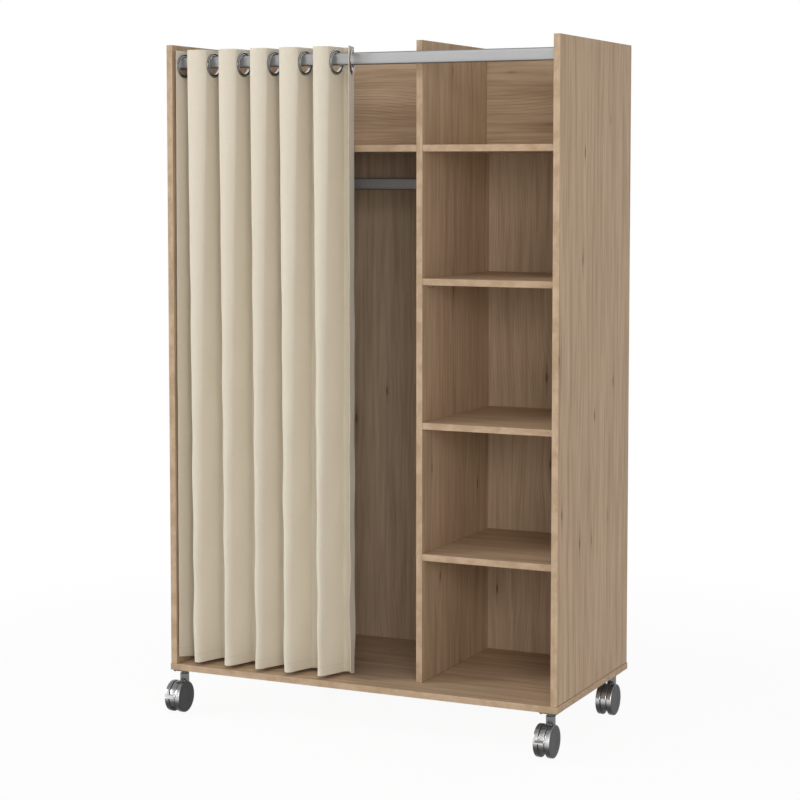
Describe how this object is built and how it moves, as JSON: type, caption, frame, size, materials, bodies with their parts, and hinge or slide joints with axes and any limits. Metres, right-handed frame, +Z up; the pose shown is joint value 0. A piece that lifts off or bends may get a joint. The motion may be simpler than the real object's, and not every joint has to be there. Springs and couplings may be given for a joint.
{
  "type": "open wardrobe with curtain",
  "caption": "Open wardrobe on castors with a hanging space beside a column of shelves and an eyelet curtain on an oval rod across the front",
  "frame": {"origin": "on the floor, under the middle of the whole object's box", "axes": "+Z up, the open front towards -Y, the hanging space towards -X and the shelves towards +X"},
  "size_m": [1.038, 0.553, 1.663],
  "materials": {
    "oak": "light oak foil on particle board, satin",
    "back_sheet": "light oak foil on thin hardboard, matte",
    "pin_steel": "nickel plated",
    "rod_aluminium": "satin anodised",
    "cup_zinc": "plated zinc, satin",
    "eyelet_chrome": "polished",
    "curtain_fabric": "plain weave, cream",
    "castor_steel": "zinc plated",
    "castor_plastic": "satin moulded, dark grey",
    "castor_wheel": "satin moulded, dark grey"
  },
  "bodies": {
    "carcass": {"bottom_panel": "oak", "left_side": "oak", "right_side": "oak", "divider": "oak", "top_shelf_left": "oak", "top_shelf_right": "oak", "shelf_upper": "oak", "shelf_middle": "oak", "shelf_lower": "oak", "back_top": "oak", "back_left": "back_sheet", "back_right": "back_sheet", "shelf_pin_front_left": "pin_steel", "shelf_pin_front_right": "pin_steel", "shelf_pin_rear_left": "pin_steel", "shelf_pin_rear_right": "pin_steel", "curtain_rod": "rod_aluminium", "hanging_rail": "rod_aluminium", "rod_socket_left": "cup_zinc", "rod_socket_right": "cup_zinc", "rail_socket_left": "cup_zinc", "rail_socket_right": "cup_zinc", "curtain": "curtain_fabric", "eyelet_01": "eyelet_chrome", "castor_front_left_plate": "castor_steel", "castor_front_right_plate": "castor_steel", "castor_rear_left_plate": "castor_steel", "castor_rear_right_plate": "castor_steel"},
    "ring_02": {"eyelet_02": "eyelet_chrome"},
    "ring_03": {"eyelet_03": "eyelet_chrome"},
    "ring_04": {"eyelet_04": "eyelet_chrome"},
    "ring_05": {"eyelet_05": "eyelet_chrome"},
    "ring_06": {"eyelet_06": "eyelet_chrome"},
    "ring_07": {"eyelet_07": "eyelet_chrome"},
    "ring_08": {"eyelet_08": "eyelet_chrome"},
    "ring_09": {"eyelet_09": "eyelet_chrome"},
    "ring_10": {"eyelet_10": "eyelet_chrome"},
    "ring_11": {"eyelet_11": "eyelet_chrome"},
    "ring_12": {"eyelet_12": "eyelet_chrome"},
    "front_left_fork": {"castor_front_left_housing": "castor_plastic", "castor_front_left_axle": "castor_steel"},
    "front_left_wheel_left": {"castor_front_left_wheel_left": "castor_wheel"},
    "front_left_wheel_right": {"castor_front_left_wheel_right": "castor_wheel"},
    "front_left_brake": {"castor_front_left_brake_lever": "castor_plastic"},
    "front_right_fork": {"castor_front_right_housing": "castor_plastic", "castor_front_right_axle": "castor_steel"},
    "front_right_wheel_left": {"castor_front_right_wheel_left": "castor_wheel"},
    "front_right_wheel_right": {"castor_front_right_wheel_right": "castor_wheel"},
    "front_right_brake": {"castor_front_right_brake_lever": "castor_plastic"},
    "rear_left_fork": {"castor_rear_left_housing": "castor_plastic", "castor_rear_left_axle": "castor_steel"},
    "rear_left_wheel_left": {"castor_rear_left_wheel_left": "castor_wheel"},
    "rear_left_wheel_right": {"castor_rear_left_wheel_right": "castor_wheel"},
    "rear_right_fork": {"castor_rear_right_housing": "castor_plastic", "castor_rear_right_axle": "castor_steel"},
    "rear_right_wheel_left": {"castor_rear_right_wheel_left": "castor_wheel"},
    "rear_right_wheel_right": {"castor_rear_right_wheel_right": "castor_wheel"}
  },
  "joints": [
    {"name": "curtain_draw", "type": "slide", "parent": "carcass", "child": "ring_02", "axis": [1, 0, 0], "range_m": [0, 0.046], "deforming": ["curtain"]},
    {"name": "ring_03_slide", "type": "slide", "parent": "ring_02", "child": "ring_03", "axis": [1, 0, 0], "range_m": [0, 0.046]},
    {"name": "ring_04_slide", "type": "slide", "parent": "ring_03", "child": "ring_04", "axis": [1, 0, 0], "range_m": [0, 0.046]},
    {"name": "ring_05_slide", "type": "slide", "parent": "ring_04", "child": "ring_05", "axis": [1, 0, 0], "range_m": [0, 0.046]},
    {"name": "ring_06_slide", "type": "slide", "parent": "ring_05", "child": "ring_06", "axis": [1, 0, 0], "range_m": [0, 0.046]},
    {"name": "ring_07_slide", "type": "slide", "parent": "ring_06", "child": "ring_07", "axis": [1, 0, 0], "range_m": [0, 0.046]},
    {"name": "ring_08_slide", "type": "slide", "parent": "ring_07", "child": "ring_08", "axis": [1, 0, 0], "range_m": [0, 0.046]},
    {"name": "ring_09_slide", "type": "slide", "parent": "ring_08", "child": "ring_09", "axis": [1, 0, 0], "range_m": [0, 0.046]},
    {"name": "ring_10_slide", "type": "slide", "parent": "ring_09", "child": "ring_10", "axis": [1, 0, 0], "range_m": [0, 0.046]},
    {"name": "ring_11_slide", "type": "slide", "parent": "ring_10", "child": "ring_11", "axis": [1, 0, 0], "range_m": [0, 0.046]},
    {"name": "ring_12_slide", "type": "slide", "parent": "ring_11", "child": "ring_12", "axis": [1, 0, 0], "range_m": [0, 0.046]},
    {"name": "front_left_swivel", "type": "hinge", "parent": "carcass", "child": "front_left_fork", "pos_m": [-0.493, -0.1945, 0.09], "axis": [0, 0, 1], "continuous": true},
    {"name": "front_left_wheel_left_spin", "type": "hinge", "parent": "front_left_fork", "child": "front_left_wheel_left", "pos_m": [-0.493, -0.2205, 0.039], "axis": [1, 0, 0], "continuous": true},
    {"name": "front_left_wheel_right_spin", "type": "hinge", "parent": "front_left_fork", "child": "front_left_wheel_right", "pos_m": [-0.493, -0.2205, 0.039], "axis": [1, 0, 0], "continuous": true},
    {"name": "front_left_brake_press", "type": "hinge", "parent": "front_left_fork", "child": "front_left_brake", "pos_m": [-0.493, -0.2425, 0.045], "axis": [1, 0, 0], "range_deg": [0, 15]},
    {"name": "front_right_swivel", "type": "hinge", "parent": "carcass", "child": "front_right_fork", "pos_m": [0.493, -0.1945, 0.09], "axis": [0, 0, 1], "continuous": true},
    {"name": "front_right_wheel_left_spin", "type": "hinge", "parent": "front_right_fork", "child": "front_right_wheel_left", "pos_m": [0.493, -0.2205, 0.039], "axis": [1, 0, 0], "continuous": true},
    {"name": "front_right_wheel_right_spin", "type": "hinge", "parent": "front_right_fork", "child": "front_right_wheel_right", "pos_m": [0.493, -0.2205, 0.039], "axis": [1, 0, 0], "continuous": true},
    {"name": "front_right_brake_press", "type": "hinge", "parent": "front_right_fork", "child": "front_right_brake", "pos_m": [0.493, -0.2425, 0.045], "axis": [1, 0, 0], "range_deg": [0, 15]},
    {"name": "rear_left_swivel", "type": "hinge", "parent": "carcass", "child": "rear_left_fork", "pos_m": [-0.493, 0.2315, 0.09], "axis": [0, 0, 1], "continuous": true},
    {"name": "rear_left_wheel_left_spin", "type": "hinge", "parent": "rear_left_fork", "child": "rear_left_wheel_left", "pos_m": [-0.493, 0.2055, 0.039], "axis": [1, 0, 0], "continuous": true},
    {"name": "rear_left_wheel_right_spin", "type": "hinge", "parent": "rear_left_fork", "child": "rear_left_wheel_right", "pos_m": [-0.493, 0.2055, 0.039], "axis": [1, 0, 0], "continuous": true},
    {"name": "rear_right_swivel", "type": "hinge", "parent": "carcass", "child": "rear_right_fork", "pos_m": [0.493, 0.2315, 0.09], "axis": [0, 0, 1], "continuous": true},
    {"name": "rear_right_wheel_left_spin", "type": "hinge", "parent": "rear_right_fork", "child": "rear_right_wheel_left", "pos_m": [0.493, 0.2055, 0.039], "axis": [1, 0, 0], "continuous": true},
    {"name": "rear_right_wheel_right_spin", "type": "hinge", "parent": "rear_right_fork", "child": "rear_right_wheel_right", "pos_m": [0.493, 0.2055, 0.039], "axis": [1, 0, 0], "continuous": true}
  ],
  "couplings": [
    {"joint": "ring_03_slide", "follows": "curtain_draw", "ratio": 1},
    {"joint": "ring_04_slide", "follows": "curtain_draw", "ratio": 1},
    {"joint": "ring_05_slide", "follows": "curtain_draw", "ratio": 1},
    {"joint": "ring_06_slide", "follows": "curtain_draw", "ratio": 1},
    {"joint": "ring_07_slide", "follows": "curtain_draw", "ratio": 1},
    {"joint": "ring_08_slide", "follows": "curtain_draw", "ratio": 1},
    {"joint": "ring_09_slide", "follows": "curtain_draw", "ratio": 1},
    {"joint": "ring_10_slide", "follows": "curtain_draw", "ratio": 1},
    {"joint": "ring_11_slide", "follows": "curtain_draw", "ratio": 1},
    {"joint": "ring_12_slide", "follows": "curtain_draw", "ratio": 1}
  ]
}
